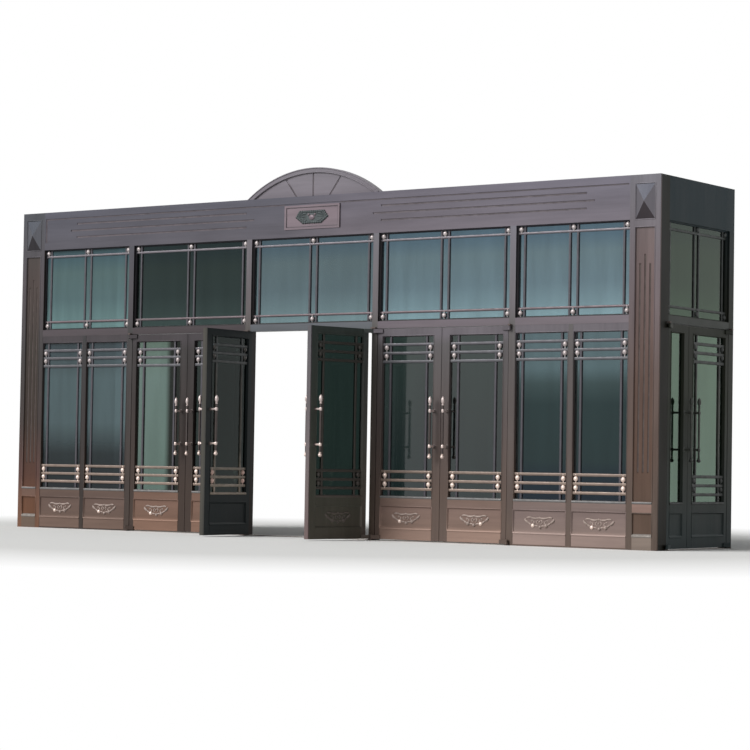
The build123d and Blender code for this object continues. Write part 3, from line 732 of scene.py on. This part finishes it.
# Transom lights: five in the front, then one in each return
lights = [(Matrix.Translation((c, 0, transom_low)), w, False) for c, w in
          [(-end_centre, end_bay), (-door_pitch, door_bay), (0, door_bay), (door_pitch, door_bay),
           (end_centre, end_bay)]]
for side in (-1, 1):
    wall = Matrix.Translation((side * (half_width - frame_depth / 2), (pilaster_back + side_rear) / 2,
                               transom_low))
    lights.append((wall @ Matrix.Rotation(math.radians(90 * side), 4, "Z"), side_rear - pilaster_back, True))
dress("transom_bars", upright_bar)
dress("transom_glass", glass_transom)
row_y, upright_y, transom_spindle_y = -4, -3, -15
low, high = transom_low_margin, transom_light - transom_high_margin
low_spindle = spindle(low, [low / 2])
high_spindle = spindle(transom_light - high, [(transom_light - high) / 2])
for k, (place, width, at_side) in enumerate(lights):
    bars, uprights, turned, rims = Shape(), Shape(), Shape(), Shape()
    half = width / 2
    edge, pair = half - transom_side_margin, transom_pair / 2
    for out in (1, -1):
        flip = Matrix.Diagonal((1, out, 1, 1))
        face = Shape()
        lattice(face, [(-half, z, half, z) for z in (low, high)], transom_section, row_y)
        bars.put(face, flip)
        face = Shape()
        lattice(face, [(x, 0, x, transom_light) for x in (-edge, -pair, pair, edge)], transom_section,
                upright_y)
        uprights.put(face, flip)
        face = Shape()
        for x in (-half + transom_side_margin / 2, 0, half - transom_side_margin / 2):
            face.put(low_spindle, Matrix.Translation((x, transom_spindle_y, 0)))
            face.put(high_spindle, Matrix.Translation((x, transom_spindle_y, high)))
        turned.put(face, flip)
        face = Shape()
        face.moulding(-half, half, 0, transom_light, transom_bead)
        rims.put(face, flip)
    # The returns' lights take the darker finishes: painted shade
    for part, shape, finish, shaded, slot in (
            ("lattice_rows", bars, bright_bar, shaded_bar, "bright_trim"),
            ("lattice_uprights", uprights, upright_bar, shaded_bar, "bright_trim"),
            ("spindles", turned, bright_ball, shaded_bar, "bright_trim"),
            ("beads", rims, steel_post, steel_return, "bronze_steel")):
        made(f"transom_{k + 1}_{part}", shape, [shaded if at_side else finish], "frame", place)

# Fixed frame
# The rear posts and side fascias take the returns' darker sheet: painted shade
for node, material in (("pilaster_left", steel_pilaster_left), ("pilaster_right", steel_pilaster),
                       ("mullions", steel_post), ("end_bay_posts", steel_post), ("transom_rails", steel_rail),
                       ("thresholds", sill_steel), ("pivot_pins", steel_dull), ("frieze", steel_frieze),
                       ("frieze_plaque", steel_plaque), ("pediment", steel_pediment),
                       ("rear_posts", steel_return), ("side_fascias", steel_return), ("roof", steel_roof)):
    dress(node, material)

# Pilaster mouldings: beads round the base panel, the fluted field and the capital
field_x0, field_x1 = half_width - pilaster_width + pilaster_stile, half_width - pilaster_stile
pilaster_steels = (("left", -1, steel_pilaster_left), ("right", 1, steel_pilaster))
for hand, side, steel in pilaster_steels:
    shape = Shape()
    for z0, z1 in ((base_panel_low, base_panel_high), (flute_field_low, flute_field_high),
                   (transom_high, top - capital_border)):
        shape.moulding(field_x0, field_x1, z0, z1, pilaster_bead)
    made(f"pilaster_{hand}_beads", shape, [steel], "frame",
         Matrix.Diagonal((side, 1, 1, 1)) @ Matrix.Translation((0, front, 0)))

# Ledges and rail sheets of the pilasters' bases, and dark fills in the grooves of pilasters and frieze:
# painted shade
base_ledge_height, ledge_half, rail_half = 452, 107, 106
foot_rail_sheet, base_rail_sheet = (2, 120), (356, 438)
flute_end, groove_end = 7, 6
middle = half_width - pilaster_width / 2
field = front + panel_recess
recess = front + frieze_recess
ledges, rails, fills = Shape(), Shape(), Shape()
for side in (-1, 1):
    flip = Matrix.Diagonal((side, 1, 1, 1))
    part = Shape()
    for z, section in ((base_ledge_height, base_ledge_section), (base_panel_low, foot_ledge_section)):
        part.bar((middle - ledge_half, front, z), (middle + ledge_half, front, z), section, upwards)
    ledges.put(part, flip)
    part = Shape()
    for low, high in (foot_rail_sheet, base_rail_sheet):
        part.bar((middle, front, low), (middle, front, high), strip(rail_half, -1, sheet_lift), outwards)
    rails.put(part, flip)
    part = Shape()
    for column, drop in ((-1, flute_side_drop), (0, flute_middle_drop), (1, flute_side_drop)):
        x = middle + flute_spacing * column
        part.bar((x, field, flute_low + flute_end), (x, field, flute_field_high - drop - flute_end),
                 groove_section, outwards)
    for row in (-1, 0, 1):
        z = frieze_low + groove_rise + groove_pitch * row
        start, inset = ((groove_middle_start, groove_middle_inset) if row == 0 else
                        (groove_outer_start, groove_outer_inset))
        part.bar((start + groove_end, recess, z), (inner_half - inset - groove_end, recess, z),
                 groove_section, outwards)
    fills.put(part, flip)

# Painted shade in the same way in the pediment's fan, and painted shadow lines along the top edges of the
# frieze's panels and down the left end of the frieze's panel
middle_reach, side_reach, fan_foot = 236, 178, 6
for side in (-1, 0, 1):
    tilt = math.radians(pediment_groove_tilt * side)
    reach = middle_reach if side == 0 else side_reach
    x, z = pediment_groove_foot * side, top + fan_foot
    fills.bar((x, field, z), (x + reach * math.sin(tilt), field, z + reach * math.cos(tilt)),
              groove_section, outwards)
plaque_edge, line_half, end_line_half = 363, 7, 9
panel_end = inner_half - frieze_end_border
x, z = -panel_end + end_line_half, frieze_high - line_half
for x0, x1 in ((-panel_end, -plaque_edge), (plaque_edge, panel_end)):
    fills.bar((x0, recess, z), (x1, recess, z), strip(line_half, -1, 1), outwards)
fills.bar((x, recess, frieze_low), (x, recess, frieze_high), strip(end_line_half, -1, sheet_lift), outwards)

# Faceted panels of the capitals: a low pyramid whose facets take lit and shaded copies of one sheet, a bluish
# upper facet with a painted sky reflection and a darker lower facet with painted shade
facet_inset, facet_back, facet_rise = 1, 3, 31.5
for hand, side, steel in pilaster_steels:
    shape = Shape()
    x0, x1 = field_x0 + facet_inset, field_x1 - facet_inset
    z0, z1 = transom_high + facet_inset, top - capital_border - facet_inset
    tip = ((x0 + x1) / 2, front - facet_rise, (z0 + z1) / 2)
    rim = [(x, front + facet_back, z) for x, z in ((x0, z0), (x1, z0), (x1, z1), (x0, z1))]
    shape.points = [Vector(p) for p in rim + [tip]]
    shape.faces = [(0, 1, 4), (1, 2, 4), (2, 3, 4), (3, 0, 4)]
    shape.finishes = [2, 0, 1, 0]
    made(f"capital_{hand}_facets", shape, [facet_side, facet_upper, facet_lower], "frame",
         Matrix.Diagonal((side, 1, 1, 1)), 5)
made("pilaster_ledges", ledges, [bright_sill], "frame")
made("pilaster_rails", rails, [steel_pilaster_rail], "frame")
made("groove_shade", fills, [groove_shade], "frame")

# Pediment rim
radius = ((pediment_chord / 2) ** 2 + pediment_rise ** 2) / (2 * pediment_rise)
arc_centre = top + pediment_rise - radius


def arc(inset, steps=72):
    """Points of the pediment's curve, this far inside its edge, from left to right."""
    r = radius - inset
    reach = math.acos((top + 2 - arc_centre) / r)
    turns = [reach * (2 * k / steps - 1) for k in range(steps + 1)]
    return [(r * math.sin(turn), arc_centre + r * math.cos(turn)) for turn in turns]


shape = Shape()
rim_bead = 6
for inset in (9, 50):
    path = arc(inset)
    shape.relief(path, [rim_bead] * len(path), [rim_bead] * len(path), front)
made("pediment_beads", shape, [steel_pediment], "frame")

# Cartouche on the plaque: a pointed plate with a scalloped rim, leaves at both ends and a domed middle
plaque_face = front + frieze_recess - plaque_thickness / 2
cartouche_height, scallop_pitch = 3380, 30
corners = [(-214, -2), (-168, 58), (168, 58), (214, -2), (126, -66), (-126, -66)]
rim = []
for k, (x, z) in enumerate(corners):
    x1, z1 = corners[(k + 1) % len(corners)]
    count = max(2, round(math.hypot(x1 - x, z1 - z) / scallop_pitch))
    rim += [(x + (x1 - x) * j / count, z + (z1 - z) * j / count) for j in range(count)]
shape = Shape()
shape.skin([[(x * s, plaque_face - h, z * s) for x, z in reversed(rim)] for s, h in
            ((0.98, -0.5), (0.98, 5), (0.93, 9), (0.8, 9), (0.76, 4), (0.3, 4), (0.05, 4))])
relief_face = plaque_face - 3
for x, z in rim:
    shape.put(boss(15, 0.7), Matrix.Translation((x * 0.93, relief_face, z * 0.92)))
for hand in (-1, 1):
    for points, thick in ((((60, 26), (104, 34), (140, 8)), 11), (((60, -28), (96, -40), (132, -14)), 11),
                          (((70, 0), (110, 4), (150, -2)), 9)):
        path = [(hand * x, z) for x, z in curve(points)]
        shape.relief(path, swollen(path, 2, thick), swollen(path, 2, 8), relief_face)
shape.put(boss(30, 0.45, 1), Matrix.Translation((0, relief_face, -8)) @ Matrix.Diagonal((1.3, 1, 1, 1)))
for hand in (-1, 1):
    shape.put(boss(14, finish=1), Matrix.Translation((hand * 42, relief_face, 22)))
made("cartouche", shape, [dark_relief, steel_plaque], "frame",
     Matrix.Translation((0, 0, cartouche_height)))
# A dark line round the plaque's edge: painted shadow
plaque_half, plaque_low, plaque_high = 362, 3251, 3505
plate = Shape()
plate.moulding(-plaque_half, plaque_half, plaque_low, plaque_high, plaque_bead)
made("plaque_line", plate, [groove_shade], "frame", Matrix.Translation((0, plaque_face, 0)))

# Standing seams of the roof, and ribs across the thresholds
seam_pitch, seam_height, seam_end = 600, 3539, 15
rib_pitch, rib_reach, rib_height, rib_end = 12, 36, 5.5, 30
shape = Shape()
for k in range(-6, 7):
    shape.bar((k * seam_pitch, back + seam_end, seam_height), (k * seam_pitch, rear - seam_end, seam_height),
              seam_section, upwards)
made("roof_seams", shape, [steel_roof], "frame")
shape = Shape()
for centre in (-door_pitch, 0, door_pitch):
    reach = door_bay / 2 - rib_end
    for y in range(-rib_reach, rib_reach + 1, rib_pitch):
        shape.bar((centre - reach, y, rib_height), (centre + reach, y, rib_height), rib_section, upwards)
made("sill_ribs", shape, [sill_steel], "frame")

# Floor, world and lamp, in metres. The ambient level is what the world lends to dull surfaces
ambient = 0.2
floor_half, fade_start, fade_end, fade_middle = 90, 5.5, 9.0, (0, 0.5, 0)
floor_mesh = bpy.data.meshes.new("studio_floor")
floor_corners = [(x * floor_half, y * floor_half, 0) for x, y in ((-1, -1), (1, -1), (1, 1), (-1, 1))]
floor_mesh.from_pydata(floor_corners, [], [(0, 1, 2, 3)])
floor = bpy.data.objects.new("studio_floor", floor_mesh)
scene.collection.objects.link(floor)
material, tree, shader, place = blank("pale_studio_floor")
floor_mesh.materials.append(material)
connect(tree, shader, {"Base Color": "#f4f4f2", "Roughness": 0.9, "Specular IOR Level": 0.1})
distance = add(tree, "VectorMath", {0: place, 1: fade_middle}, operation="DISTANCE").outputs["Value"]
fade = add(tree, "MapRange", {"Value": distance, "From Min": fade_start, "From Max": fade_end})
rays = add(tree, "LightPath").outputs
dull = add(tree, "MapRange", {"Value": rays["Is Diffuse Ray"], "To Min": 1.0, "To Max": ambient})
glow = add(tree, "Emission", {"Color": "#ffffff", "Strength": dull})
mix = add(tree, "MixShader", {0: fade, 1: shader, 2: glow})
connect(tree, tree.nodes["Material Output"], {"Surface": mix})

world = bpy.data.worlds.new("studio")
scene.world = world
world.use_nodes = True
tree = world.node_tree
rays = add(tree, "LightPath").outputs
seen = add(tree, "Math", {0: rays["Is Camera Ray"], 1: rays["Is Glossy Ray"]}, operation="MAXIMUM")
seen = add(tree, "Math", {0: seen, 1: rays["Is Transmission Ray"]}, operation="MAXIMUM")
level = add(tree, "MapRange", {"Value": seen, "To Min": ambient, "To Max": 1.0})
connect(tree, tree.nodes["Background"], {"Strength": level, "Color": "#ffffff"})

# Large soft lamp, from the left in front
lamp = bpy.data.lights.new("key_light", "SUN")
lamp.energy = 3.0
lamp.angle = math.radians(40)
holder = bpy.data.objects.new("key_light", lamp)
holder.matrix_world = Vector((-0.45, -0.8, 0.6)).to_track_quat("Z", "Y").to_matrix().to_4x4()
scene.collection.objects.link(holder)

# Camera at the photograph's place. Its focal length is in pixels of the photograph's frame
yaw, pitch, roll = math.radians(35.60), math.radians(2.17), math.radians(0.95)
focal_pixels, frame_pixels, sensor = 2421, 750, 36
viewpoint = Matrix.Translation((15.374, -20.337, 0.755))
ahead = Vector((-math.sin(yaw) * math.cos(pitch), math.cos(yaw) * math.cos(pitch), math.sin(pitch)))
level_right = Vector((math.cos(yaw), math.sin(yaw), 0))
level_up = level_right.cross(ahead)
right = math.cos(roll) * level_right + math.sin(roll) * level_up
up = math.cos(roll) * level_up - math.sin(roll) * level_right
lens = bpy.data.cameras.new("camera")
lens.lens = focal_pixels / frame_pixels * sensor
lens.sensor_width = sensor
lens.clip_end = 200
camera = bpy.data.objects.new("camera", lens)
camera.matrix_world = viewpoint @ Matrix((right, up, -ahead)).transposed().to_4x4()
scene.collection.objects.link(camera)
scene.camera = camera
